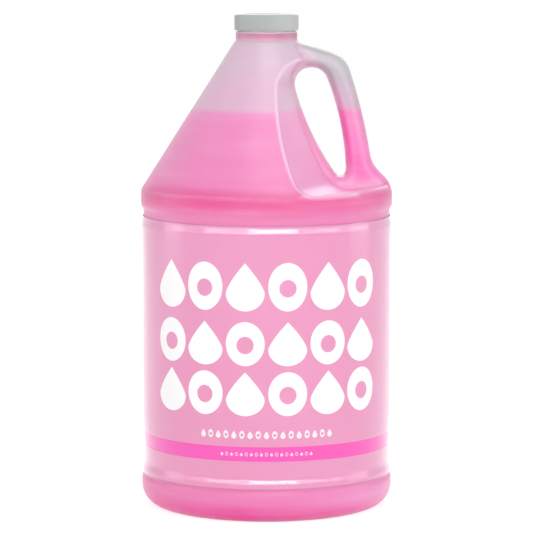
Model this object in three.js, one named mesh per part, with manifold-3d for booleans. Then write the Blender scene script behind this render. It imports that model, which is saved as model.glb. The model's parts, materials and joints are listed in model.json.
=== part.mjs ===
// A one-gallon soap jug: a blow-moulded body with a hollow handle in its cone shoulder, a threaded neck,
// a screw cap with its liner, a wrap label and the soap inside.
// Millimetres, +Z up. The origin is on the jug's axis in the plane it stands on. The handle lies towards +X.
import * as THREE from "three";
import { mergeVertices } from "three/addons/utils/BufferGeometryUtils.js";
import Module from "manifold-3d";

const wasm = await Module();
wasm.setup();

// Body
const BODY_RADIUS = 77.1;
const WALL = 1.1;
const HEEL_RADIUS = 13.4;
const STANDING_RING = 7;
const BASE_RISE = 6;
const SHOULDER_HEIGHT = 195.2;
const SHOULDER_ROUND = 6;
const CONE_HEIGHT = 90.4;

// Label panel: a shallow band between the heel and the shoulder roll that keeps the label from being scuffed.
const PANEL_DEPTH = 0.9;
const PANEL_BOTTOM = 19.7;
const PANEL_STEP = 2.2;
const SHOULDER_ROLL = 9.2;

// Label
const LABEL_FILM = 0.3;
const LABEL_ABOVE_PANEL_BOTTOM = 1.6;
const LABEL_BELOW_PANEL_TOP = 4.4;

// Handle: its outer edge, its thickness across the jug, and the finger hole between two round ends.
// The grip's section is an oval as deep as the handle.
const GRIP_DEPTH = 26.4;
const GRIP_ROUND = 5.9;
const GRIP_BOW = 1;
const HANDLE_TOP_REACH = 49.2;
const HANDLE_TOP_DROP = 8.5;
const HANDLE_TOP_CORNER = 12;
const FOOT_RISE = 20.3;
const FOOT_INSET = 12.4;
const FOOT_LANDING = 1;
const FOOT_ROOT = 9;
const FOOT_PULL = 7;
const GRIP_END_PULL = 11;
const HOLE_TOP_REACH = 27.5;
const HOLE_TOP_DROP = 25.9;
const HOLE_TOP_RADIUS = 10.2;
const HOLE_BOTTOM_INSET = 31.9;
const HOLE_BOTTOM_RISE = 11.7;
const HOLE_BOTTOM_RADIUS = 3.4;
const HOLE_BULGE = 2.4;

// Pocket: the hollow pressed into the cone on both sides of the finger hole.
const POCKET_RIM = 4.9;
const POCKET_SHIFT = 2.5;
const POCKET_RISE = 1.8;
const POCKET_CORNER = 20;
const POCKET_CORNER_SHIFT = 8;
const POCKET_BULGE = 2;
const POCKET_DRAFT = 0.35;
const POCKET_FLOOR = 2.5;
const LEDGE_RISE = 0.6;
const LEDGE_SLOPE = 0.12;

// Neck finish. The wall's outside is the thread's root: the bore, the band and the cone's top follow from it.
// The neck's height follows from the band, the cap's place above it and the thread.
const NECK_WALL_RADIUS = 17.5;
const NECK_WALL = 1.9;
const NECK_LAND_ROUND = 0.5;
const NECK_BAND_STEP = 1.3;
const NECK_BAND_HEIGHT = 6.2;
const CONE_TOP_STEP = 0.8;
const THREAD_PITCH = 25.4 / 6;
const THREAD_HEIGHT = 1.05;
const THREAD_SINK = 0.4;
const THREAD_BASE = 2.6;
const THREAD_CREST = 1;
const THREAD_TURNS = 1;
const THREAD_RUN_OUT = 5;
const THREAD_TOP_BELOW_LAND = 1.77;

// Cap and liner
const CAP_WALL = 0.8;
const CAP_TOP = 1.3;
const CAP_EDGE_ROUND = 0.8;
const CAP_RIM_ROUND = 0.3;
const CAP_ABOVE_BAND = 0.8;
const CAP_SKIRT_BELOW_THREAD = 0.6;
const CAP_THREAD_TURNS = 1.13;
const CAP_THREAD_START_TURN = 0.75;
const LINER_THICKNESS = 1.1;
const LINER_SETBACK = 0.2;

// Clearances
const THREAD_CLEARANCE = 0.3;
const SEAT_GAP = 0.3;
const LIQUID_GAP = 0.3;
const LABEL_GAP = 0.3;

// Filling
const FILL_ABOVE_SHOULDER = 47.1;

// Facets
const AROUND = 56;
const ARC_STEPS = 4;
const BORE_OVERRUN = 5;

// Heights and radii that follow from the sizes above
const coneTop = SHOULDER_HEIGHT + CONE_HEIGHT;
const bandTop = coneTop + NECK_BAND_HEIGHT;
const capBottom = bandTop + CAP_ABOVE_BAND;
const threadStart = capBottom + CAP_SKIRT_BELOW_THREAD;
const neckTop = threadStart + THREAD_PITCH * THREAD_TURNS + THREAD_TOP_BELOW_LAND;
const neckBoreRadius = NECK_WALL_RADIUS - NECK_WALL;
const neckBandRadius = NECK_WALL_RADIUS + NECK_BAND_STEP;
const coneTopRadius = neckBandRadius + CONE_TOP_STEP;
const coneSlope = (BODY_RADIUS - coneTopRadius) / CONE_HEIGHT;
const fillLevel = SHOULDER_HEIGHT + FILL_ABOVE_SHOULDER;
const panelTop = SHOULDER_HEIGHT - SHOULDER_ROLL - PANEL_STEP;
const panelRadius = BODY_RADIUS - PANEL_DEPTH;
const threadCrestRadius = NECK_WALL_RADIUS + THREAD_HEIGHT;
const capBoreRadius = threadCrestRadius + THREAD_CLEARANCE;
const capRadius = capBoreRadius + CAP_WALL;
const linerBottom = neckTop + SEAT_GAP;
const capCeiling = linerBottom + LINER_THICKNESS + SEAT_GAP;
const capTop = capCeiling + CAP_TOP;

// A closed geometry as a solid that can be joined and cut.
function solid(geometry) {
  const bare = geometry.clone();
  bare.deleteAttribute("normal");
  bare.deleteAttribute("uv");
  const merged = mergeVertices(bare, 1e-4);
  const corners = merged.index.array;
  const kept = [];
  for (let i = 0; i < corners.length; i += 3) {
    const [a, b, c] = [corners[i], corners[i + 1], corners[i + 2]];
    if (a !== b && b !== c && c !== a) kept.push(a, b, c);
  }
  return new wasm.Manifold(
    new wasm.Mesh({
      numProp: 3,
      vertProperties: merged.attributes.position.array,
      triVerts: new Uint32Array(kept),
    }),
  );
}

// A solid as a named mesh with its material.
function mesh(name, body, material) {
  const data = body.getMesh();
  const geometry = new THREE.BufferGeometry();
  geometry.setAttribute("position", new THREE.BufferAttribute(data.vertProperties, 3));
  geometry.setIndex(new THREE.BufferAttribute(data.triVerts, 1));
  geometry.computeVertexNormals();
  const made = new THREE.Mesh(geometry, material);
  made.name = name;
  return made;
}

// A profile of (radius, height) points turned about the vertical axis.
function revolve(points) {
  const lathe = new THREE.LatheGeometry(points, AROUND);
  return solid(lathe.rotateX(Math.PI / 2));
}

// Points on an arc, both ends included. Angles are in degrees, 0 along +X and 90 along +Y.
function arc(x, y, radius, from, to, steps = ARC_STEPS) {
  return Array.from({ length: steps + 1 }, (_, i) => {
    const angle = THREE.MathUtils.degToRad(from + ((to - from) * i) / steps);
    return new THREE.Vector2(x + radius * Math.cos(angle), y + radius * Math.sin(angle));
  });
}

// The same points moved sideways, to the left of their direction where the distance is positive.
function parallel(points, distance, closed = false) {
  const last = points.length - 1;
  return points.map((point, i) => {
    const before = points[i > 0 ? i - 1 : closed ? last : 0];
    const after = points[i < last ? i + 1 : closed ? 0 : last];
    const into = point.clone().sub(before).normalize();
    const out = after.clone().sub(point).normalize();
    const along = into.clone().add(out).normalize();
    const reach = distance / Math.max(along.dot(into.lengthSq() > 0 ? into : out), 0.5);
    return new THREE.Vector2(point.x - along.y * reach, point.y + along.x * reach);
  });
}

// A solid skinned over outlines seen from the front, one for each level of depth, all with as many points.
function loft(levels) {
  const first = levels[0].outline;
  const steps = levels.length - 1;
  const nearest = (at) => {
    const away = first.map((point) => point.distanceToSquared(at));
    return away.indexOf(Math.min(...away));
  };
  const bar = new THREE.ExtrudeGeometry(new THREE.Shape(first), { depth: steps, steps, bevelEnabled: false });
  const place = bar.attributes.position;
  for (let i = 0; i < place.count; i++) {
    const { outline, depth } = levels[Math.round(place.getZ(i))];
    const point = outline[nearest(new THREE.Vector2(place.getX(i), place.getY(i)))];
    place.setXYZ(i, point.x, point.y, depth);
  }
  return solid(bar.rotateX(Math.PI / 2));
}

// The body's outer line from the middle of the base to the top of the cone.
function bodyLine() {
  const ringInner = BODY_RADIUS - HEEL_RADIUS - STANDING_RING;
  const pushUp = Array.from({ length: ARC_STEPS }, (_, i) => {
    const angle = (i / ARC_STEPS) * (Math.PI / 2);
    return new THREE.Vector2(ringInner * Math.sin(angle), BASE_RISE * Math.cos(angle));
  });
  const coneAngle = THREE.MathUtils.radToDeg(Math.atan(coneSlope));
  const roundCentre = SHOULDER_HEIGHT - SHOULDER_ROUND * Math.tan(Math.atan(coneSlope) / 2);
  return [
    ...pushUp,
    new THREE.Vector2(ringInner, 0),
    ...arc(BODY_RADIUS - HEEL_RADIUS, HEEL_RADIUS, HEEL_RADIUS, -90, 0),
    new THREE.Vector2(BODY_RADIUS, PANEL_BOTTOM - PANEL_STEP / 2),
    new THREE.Vector2(panelRadius, PANEL_BOTTOM),
    new THREE.Vector2(panelRadius, panelTop),
    new THREE.Vector2(BODY_RADIUS, panelTop + PANEL_STEP),
    ...arc(BODY_RADIUS - SHOULDER_ROUND, roundCentre, SHOULDER_ROUND, 0, coneAngle, 2),
    new THREE.Vector2(coneTopRadius, coneTop),
  ];
}

// The neck's outer line above the cone, with the band under the cap and the land the liner seals on.
function neckLine() {
  return [
    new THREE.Vector2(neckBandRadius, coneTop + CONE_TOP_STEP),
    new THREE.Vector2(neckBandRadius, bandTop - NECK_BAND_STEP / 2),
    new THREE.Vector2(NECK_WALL_RADIUS, bandTop),
    new THREE.Vector2(NECK_WALL_RADIUS, neckTop - NECK_LAND_ROUND),
    new THREE.Vector2(NECK_WALL_RADIUS - NECK_LAND_ROUND, neckTop),
    new THREE.Vector2(0, neckTop),
  ];
}

// The envelope of a circle that travels from one centre to another while its radius changes and swells.
function travellingCircle(start, end, startRadius, endRadius, swell, steps = 6) {
  const path = end.clone().sub(start);
  const length = path.length();
  const along = path.divideScalar(length);
  const side = new THREE.Vector2(-along.y, along.x);
  const radiusAt = (t) => startRadius + (endRadius - startRadius) * t + swell * 4 * t * (1 - t);
  const leanAt = (t) => Math.asin((startRadius - endRadius - swell * 4 * (1 - 2 * t)) / length);
  const edge = (t, sign) => {
    const centre = start.clone().addScaledVector(along, length * t);
    const lean = leanAt(t);
    centre.addScaledVector(along, radiusAt(t) * Math.sin(lean));
    return centre.addScaledVector(side, sign * radiusAt(t) * Math.cos(lean));
  };
  const heading = THREE.MathUtils.radToDeg(Math.atan2(along.y, along.x));
  const startLean = THREE.MathUtils.radToDeg(leanAt(0));
  const endLean = THREE.MathUtils.radToDeg(leanAt(1));
  const inner = Array.from({ length: steps - 1 }, (_, i) => (i + 1) / steps);
  return [
    ...arc(start.x, start.y, startRadius, heading + 90 - startLean, heading + 270 + startLean, 2 * ARC_STEPS),
    ...inner.map((t) => edge(t, -1)),
    ...arc(end.x, end.y, endRadius, heading - 90 + endLean, heading + 90 - endLean, 2 * ARC_STEPS),
    ...inner.reverse().map((t) => edge(t, 1)),
  ];
}

const holeTop = new THREE.Vector2(HOLE_TOP_REACH, coneTop - HOLE_TOP_DROP);
const holeBottom = new THREE.Vector2(BODY_RADIUS - HOLE_BOTTOM_INSET, SHOULDER_HEIGHT + HOLE_BOTTOM_RISE);

// The finger hole's outline seen from the front, grown all round.
function holeOutline(grow) {
  const [top, bottom] = [HOLE_TOP_RADIUS + grow, HOLE_BOTTOM_RADIUS + grow];
  return travellingCircle(holeTop, holeBottom, top, bottom, HOLE_BULGE);
}

// The handle's outer edge seen from the front: up from the shoulder, along the bowed grip and round the top
// corner to the neck. It starts and ends inside the body.
function handleOutline() {
  const corner = new THREE.Vector2(HANDLE_TOP_REACH, coneTop - HANDLE_TOP_DROP);
  const foot = new THREE.Vector2(BODY_RADIUS - FOOT_LANDING, SHOULDER_HEIGHT + FOOT_LANDING);
  const gripEnd = new THREE.Vector2(foot.x - FOOT_INSET, foot.y + FOOT_RISE);
  const neck = new THREE.Vector2(coneTopRadius, coneTop);
  const down = gripEnd.clone().sub(corner).normalize();
  const up = neck.clone().sub(corner).normalize();
  const cornerIn = corner.clone().addScaledVector(up, HANDLE_TOP_CORNER);
  const cornerOut = corner.clone().addScaledVector(down, HANDLE_TOP_CORNER);
  const outwards = new THREE.Vector2(-down.y, down.x);
  const bow = gripEnd.clone().add(cornerOut).divideScalar(2).addScaledVector(outwards, 2 * GRIP_BOW);
  const intoFoot = gripEnd.clone().sub(bow).setLength(GRIP_END_PULL).add(gripEnd);
  const root = SHOULDER_HEIGHT - FOOT_ROOT;
  const curve = new THREE.Path();
  curve.moveTo(0, root);
  curve.lineTo(foot.x, root);
  curve.lineTo(foot.x, foot.y);
  curve.bezierCurveTo(foot.x, foot.y + FOOT_PULL, intoFoot.x, intoFoot.y, gripEnd.x, gripEnd.y);
  curve.quadraticCurveTo(bow.x, bow.y, cornerOut.x, cornerOut.y);
  curve.quadraticCurveTo(corner.x, corner.y, cornerIn.x, cornerIn.y);
  curve.lineTo(neck.x, neck.y);
  curve.lineTo(0, neck.y);
  return curve.getPoints(6);
}

// The levels of a slab across the jug whose edges are oval, from the back to the front.
// Each has its depth and how far its outline lies inside the slab's middle outline.
function roundedLevels(inset) {
  const round = GRIP_ROUND - inset;
  const reach = GRIP_DEPTH / 2 - inset;
  const half = Array.from({ length: ARC_STEPS + 1 }, (_, i) => {
    const angle = (i / ARC_STEPS) * (Math.PI / 2);
    return { depth: reach * Math.sin(angle), inside: GRIP_ROUND - round * Math.cos(angle) };
  });
  const back = half.slice(1).map(({ depth, inside }) => ({ depth: -depth, inside }));
  return [...back.reverse(), ...half];
}

// The handle as a slab with oval edges, its skin moved inwards by the inset, with the finger hole through it.
function handle(inset) {
  const outline = handleOutline();
  const levels = roundedLevels(inset);
  const slab = loft(levels.map(({ depth, inside }) => ({ depth, outline: parallel(outline, inside, true) })));
  const [last, face] = levels.slice(-2);
  const past = { depth: 2 * face.depth - last.depth, inside: 2 * face.inside - last.inside };
  const holeLevels = [{ depth: -past.depth, inside: past.inside }, ...levels.slice(1, -1), past];
  const hole = loft(holeLevels.map(({ depth, inside }) => ({ depth, outline: holeOutline(inside) })));
  return slab.subtract(hole);
}

// The space of both pockets, which cuts the cone away round the handle. Its left wall leans outwards for
// draft, and its floor is a ledge that rises a little towards the handle's foot.
function pocketSpace(grow) {
  const ledge = SHOULDER_HEIGHT + LEDGE_RISE;
  const topCentre = new THREE.Vector2(holeTop.x + POCKET_SHIFT, holeTop.y + POCKET_RISE);
  const topRadius = HOLE_TOP_RADIUS + POCKET_RIM + grow;
  const corner = new THREE.Vector2(holeBottom.x + POCKET_CORNER_SHIFT, ledge + POCKET_CORNER);
  const round = travellingCircle(topCentre, corner, topRadius, POCKET_CORNER + grow, POCKET_BULGE, 4);
  const path = corner.clone().sub(topCentre);
  const left = round.filter((p) => {
    const limit = p.y > topCentre.y ? topCentre.x : corner.x;
    return p.x < limit && path.cross(p.clone().sub(topCentre)) < 0;
  });
  const outside = 2 * BODY_RADIUS;
  const outline = [
    new THREE.Vector2(outside, ledge - grow + LEDGE_SLOPE * (outside - corner.x)),
    new THREE.Vector2(outside, topCentre.y + topRadius),
    new THREE.Vector2(topCentre.x, topCentre.y + topRadius),
    ...left,
    new THREE.Vector2(corner.x, ledge - grow),
  ];
  const shifted = outline.map((p) => new THREE.Vector2(p.x - POCKET_DRAFT * BODY_RADIUS, p.y));
  const half = GRIP_DEPTH / 2 - POCKET_FLOOR;
  return loft([
    { depth: -half - BODY_RADIUS, outline: shifted },
    { depth: -half, outline },
    { depth: half, outline },
    { depth: half + BODY_RADIUS, outline: shifted },
  ]);
}

// The jug's skin moved inwards by the inset, as one solid: the whole outside at zero, its hollow at the wall.
function jugForm(inset, topLine) {
  const line = inset > 0 ? parallel(bodyLine(), inset) : bodyLine();
  line[0].x = 0;
  const body = revolve([...line, ...topLine]);
  return body.subtract(pocketSpace(inset)).add(handle(inset));
}

// The hollow of the jug: it opens at the neck, so it runs on past the land.
function jugHollow(inset, boreRadius, top) {
  const boreStart = coneTop + boreRadius - neckBoreRadius;
  const bore = [boreStart, top].map((height) => new THREE.Vector2(boreRadius, height));
  return jugForm(inset, [...bore, new THREE.Vector2(0, top)]);
}

// A bar of trapezoid section wound on a helix. At both ends its crest runs out into the wall it stands on.
function thread(wallRadius, outwards, turns, startHeight, startTurn) {
  const root = -outwards * THREAD_SINK;
  const crest = outwards * THREAD_HEIGHT;
  const section = new THREE.Shape([
    new THREE.Vector2(root, -THREAD_BASE / 2),
    new THREE.Vector2(crest, -THREAD_CREST / 2),
    new THREE.Vector2(crest, THREAD_CREST / 2),
    new THREE.Vector2(root, THREAD_BASE / 2),
  ]);
  const steps = Math.round(turns * AROUND);
  const bar = new THREE.ExtrudeGeometry(section, { depth: steps, steps, bevelEnabled: false });
  const place = bar.attributes.position;
  for (let i = 0; i < place.count; i++) {
    const step = steps - place.getZ(i);
    const fade = Math.min(1, step / THREAD_RUN_OUT, (steps - step) / THREAD_RUN_OUT);
    const onCrest = place.getX(i) * outwards > 0;
    const lift = onCrest ? root / 2 + (crest - root / 2) * fade : root;
    const turn = startTurn + (step + 0.5) / AROUND;
    const radius = wallRadius + lift;
    const angle = turn * 2 * Math.PI;
    const rise = startHeight + THREAD_PITCH * (turn - startTurn);
    place.setXYZ(i, radius * Math.cos(angle), radius * Math.sin(angle), rise + place.getY(i));
  }
  return solid(bar);
}

const polyethylene = new THREE.MeshStandardMaterial({ color: 0xe8d5e2, roughness: 0.42, metalness: 0 });
const soap = new THREE.MeshStandardMaterial({ color: 0xee6fb0, roughness: 0.1, metalness: 0 });
const film = new THREE.MeshStandardMaterial({ color: 0xf0a6cb, roughness: 0.3, metalness: 0 });
const capPlastic = new THREE.MeshStandardMaterial({ color: 0xb4b9b7, roughness: 0.45, metalness: 0 });
const foam = new THREE.MeshStandardMaterial({ color: 0xf2f1ec, roughness: 0.8, metalness: 0 });

function jug() {
  const outside = jugForm(0, neckLine());
  const hollow = jugHollow(WALL, neckBoreRadius, neckTop + BORE_OVERRUN);
  const neckThread = thread(NECK_WALL_RADIUS, 1, THREAD_TURNS, threadStart, 0);
  return mesh("jug", outside.add(neckThread).subtract(hollow), polyethylene);
}

function liquidSoap() {
  const inside = jugHollow(WALL + LIQUID_GAP, neckBoreRadius - LIQUID_GAP, neckTop);
  const size = 4 * BODY_RADIUS;
  const below = new THREE.BoxGeometry(size, size, size).translate(0, 0, fillLevel - size / 2);
  return mesh("liquid_soap", inside.intersect(solid(below)), soap);
}

// The label stands in the panel, a little inside the panel's upper and lower steps.
function wrapLabel() {
  const inner = panelRadius + LABEL_GAP;
  const bottom = PANEL_BOTTOM + LABEL_ABOVE_PANEL_BOTTOM;
  const top = panelTop - LABEL_BELOW_PANEL_TOP;
  const outline = [
    new THREE.Vector2(inner, bottom),
    new THREE.Vector2(inner + LABEL_FILM, bottom),
    new THREE.Vector2(inner + LABEL_FILM, top),
    new THREE.Vector2(inner, top),
    new THREE.Vector2(inner, bottom),
  ];
  return mesh("wrap_label", revolve(outline), film);
}

function capLiner() {
  const radius = NECK_WALL_RADIUS - LINER_SETBACK;
  const outline = [
    new THREE.Vector2(0, linerBottom),
    new THREE.Vector2(radius, linerBottom),
    new THREE.Vector2(radius, linerBottom + LINER_THICKNESS),
    new THREE.Vector2(0, linerBottom + LINER_THICKNESS),
  ];
  return mesh("cap_liner", revolve(outline), foam);
}

// The cap: a skirt and a top with a rounded edge, and a thread that lies half a pitch from the neck's thread.
function screwCap() {
  const outline = [
    new THREE.Vector2(0, capCeiling),
    new THREE.Vector2(capBoreRadius, capCeiling),
    new THREE.Vector2(capBoreRadius, capBottom + CAP_RIM_ROUND),
    new THREE.Vector2(capBoreRadius + CAP_RIM_ROUND, capBottom),
    new THREE.Vector2(capRadius - CAP_RIM_ROUND, capBottom),
    new THREE.Vector2(capRadius, capBottom + CAP_RIM_ROUND),
    ...arc(capRadius - CAP_EDGE_ROUND, capTop - CAP_EDGE_ROUND, CAP_EDGE_ROUND, 0, 90),
    new THREE.Vector2(0, capTop),
  ];
  const start = threadStart + (CAP_THREAD_START_TURN - 0.5) * THREAD_PITCH;
  const inside = thread(capBoreRadius, -1, CAP_THREAD_TURNS, start, CAP_THREAD_START_TURN);
  return mesh("screw_cap", revolve(outline).add(inside), capPlastic);
}

const soapJug = new THREE.Group();
soapJug.add(jug(), liquidSoap(), wrapLabel(), capLiner(), screwCap());

export default soapJug;
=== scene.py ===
# %% [markdown]
# # A one-gallon jug of liquid soap
#
# The jug is blown in one piece of natural polyethylene: a round body, a cone shoulder with a hollow handle,
# and a threaded neck. A grey screw cap closes it, a printed film label goes round it, and pink soap shows
# through it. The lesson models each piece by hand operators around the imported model, gives each one its
# finish, and lights it.
#
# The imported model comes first. It fixes the place and the size of every piece, so nothing is fitted
# afterwards.

# %% Load the frame
import json
import math
from collections import namedtuple
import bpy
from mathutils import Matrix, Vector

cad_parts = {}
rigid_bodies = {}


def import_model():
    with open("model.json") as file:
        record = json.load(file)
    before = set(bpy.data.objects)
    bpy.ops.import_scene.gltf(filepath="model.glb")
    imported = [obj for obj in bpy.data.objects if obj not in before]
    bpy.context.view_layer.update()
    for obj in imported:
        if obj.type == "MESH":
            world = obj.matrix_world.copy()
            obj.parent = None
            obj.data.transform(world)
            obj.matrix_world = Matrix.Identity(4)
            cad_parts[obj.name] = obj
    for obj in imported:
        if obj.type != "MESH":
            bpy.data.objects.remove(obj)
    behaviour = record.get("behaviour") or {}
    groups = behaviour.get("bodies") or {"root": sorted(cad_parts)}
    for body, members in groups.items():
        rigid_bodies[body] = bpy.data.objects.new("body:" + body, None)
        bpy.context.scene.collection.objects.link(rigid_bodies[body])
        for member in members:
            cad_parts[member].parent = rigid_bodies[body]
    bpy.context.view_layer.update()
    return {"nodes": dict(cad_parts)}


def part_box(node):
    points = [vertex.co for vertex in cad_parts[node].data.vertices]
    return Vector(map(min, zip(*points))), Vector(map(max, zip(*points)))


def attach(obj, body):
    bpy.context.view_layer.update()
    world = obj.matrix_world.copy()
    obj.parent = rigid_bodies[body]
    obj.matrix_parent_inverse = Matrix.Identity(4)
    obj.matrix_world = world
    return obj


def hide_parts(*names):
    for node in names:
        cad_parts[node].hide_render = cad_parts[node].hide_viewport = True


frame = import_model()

from types import SimpleNamespace

import bpy
from mathutils import Vector

MM = 0.001

# %% [markdown]
# ## Sizes
#
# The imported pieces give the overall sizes. What their boxes can't say is written once, in millimetres, with
# heights measured from the floor and radii from the jug's axis. The handle and the neck have their own
# sizes further down.

# %% Sizes from the frame
body_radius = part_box("jug")[1].x / MM
neck_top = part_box("jug")[1].z / MM
fill_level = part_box("liquid_soap")[1].z / MM
label_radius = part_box("wrap_label")[1].x / MM
label_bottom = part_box("wrap_label")[0].z / MM
label_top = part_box("wrap_label")[1].z / MM
cap_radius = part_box("screw_cap")[1].x / MM
cap_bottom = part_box("screw_cap")[0].z / MM
cap_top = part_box("screw_cap")[1].z / MM
liner_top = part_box("cap_liner")[1].z / MM
print("body radius", round(body_radius, 2), "mm, neck top", round(neck_top, 2), "mm")
print("soap level", round(fill_level, 2), "mm")

# %% Sizes of the blown shape
SHOULDER = 195.2
CONE_TOP = 285.6
CONE_TOP_RADIUS = 19.6
SHOULDER_ROUND = 6
HEEL_RADIUS = 13.4
STANDING_RING = 7
BASE_RISE = 6
WALL = 1.1
PANEL_BOTTOM = 19.7
PANEL_TOP = 183.8
PANEL_STEP = 2.2
PANEL_RADIUS = 76.2
print("label panel from", PANEL_BOTTOM, "to", PANEL_TOP, "mm, cone from", SHOULDER, "to", CONE_TOP, "mm")

# %% [markdown]
# ## Ways of working
#
# A few small helpers stand for what a modeller does with the mouse. The first clears the selection, because
# operators act on all that is selected. The others take up one piece, open all of it for editing, add a
# modifier and apply it, merge doubles and turn the faces outwards, and count triangles.

# %% Helpers for picking up and finishing pieces
def put_down():
    if bpy.context.object and bpy.context.object.mode != "OBJECT":
        bpy.ops.object.mode_set(mode="OBJECT")
    bpy.ops.object.select_all(action="DESELECT")


def pick_up(piece):
    put_down()
    piece.select_set(True)
    bpy.context.view_layer.objects.active = piece


def add_and_apply(piece, kind, **settings):
    pick_up(piece)
    modifier = piece.modifiers.new(kind.title(), kind)
    for name, value in settings.items():
        setattr(modifier, name, value)
    bpy.ops.object.modifier_apply(modifier=modifier.name)


def open_all(piece):
    pick_up(piece)
    bpy.ops.object.mode_set(mode="EDIT")
    bpy.ops.mesh.select_all(action="SELECT")


def facing_out(piece):
    open_all(piece)
    bpy.ops.mesh.remove_doubles(threshold=0.002 * MM)
    bpy.ops.mesh.normals_make_consistent(inside=False)
    put_down()


def triangles(piece):
    return sum(len(face.vertices) - 2 for face in piece.data.polygons)


print("packed jug:", triangles(frame["nodes"]["jug"]), "triangles")

# %% [markdown]
# ## Turned shapes
#
# The body, the neck and the cap are round, so they are drawn as a potter draws up a wall: one ring of
# points, then ring after ring extruded upwards and scaled to the next radius. A spin would do the same, but
# the rings keep the outline readable as a list of radius and height.

# %% Draw up a turned wall
AROUND = 192


def turned(name, outline, around=AROUND):
    put_down()
    radius, height = outline[0]
    bpy.ops.mesh.primitive_circle_add(
        vertices=around, radius=radius * MM, fill_type="NOTHING", location=(0, 0, height * MM)
    )
    piece = bpy.context.object
    piece.name = name
    bpy.ops.object.transform_apply(location=True)
    bpy.ops.object.mode_set(mode="EDIT")
    for radius_next, height_next in outline[1:]:
        rise = (height_next - height) * MM
        bpy.ops.mesh.extrude_region_move(TRANSFORM_OT_translate={"value": (0, 0, rise)})
        grow = radius_next / radius
        bpy.ops.transform.resize(value=(grow, grow, 1), center_override=(0, 0, height_next * MM))
        radius, height = radius_next, height_next
    put_down()
    return piece


def arc(x, z, radius, start, end, steps=8):
    angles = [math.radians(start + (end - start) * i / steps) for i in range(steps + 1)]
    return [(x + radius * math.cos(a), z + radius * math.sin(a)) for a in angles]


print("points in a ring:", AROUND)

# %% [markdown]
# ## The round body
#
# The base is pushed up in the middle so that the jug stands on a ring, the heel is a large round, and the
# label panel lies a little deeper than the heel and the shoulder, so that the label is not scuffed.
#
# Towards its upper end the panel leans in by under a millimetre. Near its lower end it is about a
# millimetre slimmer, and from there it flares out to the edge. The label follows both. Each is a smooth
# step over a few millimetres, and its steepest part looks up at the front lamp, which gives the label a
# thin band of light.

# %% Lean of the panel near its ends
TOP_LEAN = 0.7
TOP_LEAN_REACH = 6
TOP_LEAN_START = 0.3
BOTTOM_LEAN = 1.1
BOTTOM_LEAN_REACH = 6.5
BOTTOM_LEAN_START = 1.2
BOTTOM_LEAN_RETURN = 34


def smooth(t):
    t = min(1, max(0, t))
    return t * t * (3 - 2 * t)


def panel_lean(height):
    from_top = (label_top - TOP_LEAN_START - height) / TOP_LEAN_REACH
    bottom_start = label_bottom + BOTTOM_LEAN_START
    from_bottom = (height - bottom_start) / BOTTOM_LEAN_REACH
    back_again = (height - bottom_start - BOTTOM_LEAN_REACH) / BOTTOM_LEAN_RETURN
    low = smooth(from_bottom) * (1 - smooth(back_again))
    return TOP_LEAN * (1 - smooth(from_top)) + BOTTOM_LEAN * low


print("the label's upper edge leans in by", panel_lean(label_top), "mm")

# %% Heights at which the panel is drawn
FINE_STEP = 0.4
FINE_REACH = 12
COARSE_STEPS = 28


def panel_heights(low, high):
    steps = round(FINE_REACH / FINE_STEP)
    near_low = [low + FINE_STEP * i for i in range(steps)]
    near_high = [high - FINE_STEP * i for i in range(steps, -1, -1)]
    span = near_high[0] - near_low[-1]
    between = [near_low[-1] + span * i / COARSE_STEPS for i in range(1, COARSE_STEPS)]
    return near_low + between + near_high


print("rings over the label panel:", len(panel_heights(PANEL_BOTTOM, PANEL_TOP)))


# %% Outline of the body
PANEL_MARGIN = 0.6
STEP_EASE = 0.15
LEDGE_EASE = 0.2
NECK_INSET = 0.8
NECK_STUB = 6


def base_line():
    ring_inner = body_radius - HEEL_RADIUS - STANDING_RING
    angles = [math.radians(90 * i / 10) for i in range(1, 11)]
    push_up = [(ring_inner * math.sin(a), BASE_RISE * math.cos(a)) for a in angles]
    heel = arc(body_radius - HEEL_RADIUS, HEEL_RADIUS, HEEL_RADIUS, -90, 0, 14)
    return push_up + heel


def shoulder_line():
    lean = math.atan((body_radius - CONE_TOP_RADIUS) / (CONE_TOP - SHOULDER))
    centre = SHOULDER - SHOULDER_ROUND * math.tan(lean / 2)
    return arc(body_radius - SHOULDER_ROUND, centre, SHOULDER_ROUND, 0, math.degrees(lean), 6)


def body_line():
    heights = panel_heights(PANEL_BOTTOM + PANEL_MARGIN, PANEL_TOP - PANEL_MARGIN)
    panel = [(PANEL_RADIUS - panel_lean(height), height) for height in heights]
    return [
        *base_line(),
        (body_radius, PANEL_BOTTOM - PANEL_STEP),
        (body_radius - STEP_EASE, PANEL_BOTTOM - PANEL_STEP * 0.7),
        (PANEL_RADIUS + STEP_EASE, PANEL_BOTTOM - PANEL_STEP * 0.25),
        *panel,
        (PANEL_RADIUS - TOP_LEAN + LEDGE_EASE, PANEL_TOP + PANEL_STEP * 0.25),
        (body_radius - LEDGE_EASE, PANEL_TOP + PANEL_STEP * 0.7),
        (body_radius, PANEL_TOP + PANEL_STEP),
        *shoulder_line(),
        (CONE_TOP_RADIUS, CONE_TOP),
        (CONE_TOP_RADIUS - NECK_INSET, CONE_TOP + NECK_INSET),
        (CONE_TOP_RADIUS - NECK_INSET, CONE_TOP + NECK_STUB),
    ]


body = turned("jug_body", body_line())
add_and_apply(body, "WELD", merge_threshold=0.001 * MM)
open_all(body)
bpy.ops.mesh.fill_holes(sides=0)
facing_out(body)
print("body of revolution:", triangles(body), "triangles")

# %% [markdown]
# ## The handle and its pockets
#
# The handle is blown together with the shoulder: both mould halves press a pocket into the cone until they
# meet, and what they pinch off is the finger hole. Seen from the front each form is one outline, and two
# round ends joined by tangents describe the hole and the pocket well. The grip's section is an oval, so the
# slab is drawn half by half in small insets that step along a quarter of an oval, and then mirrored to the
# back.

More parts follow.
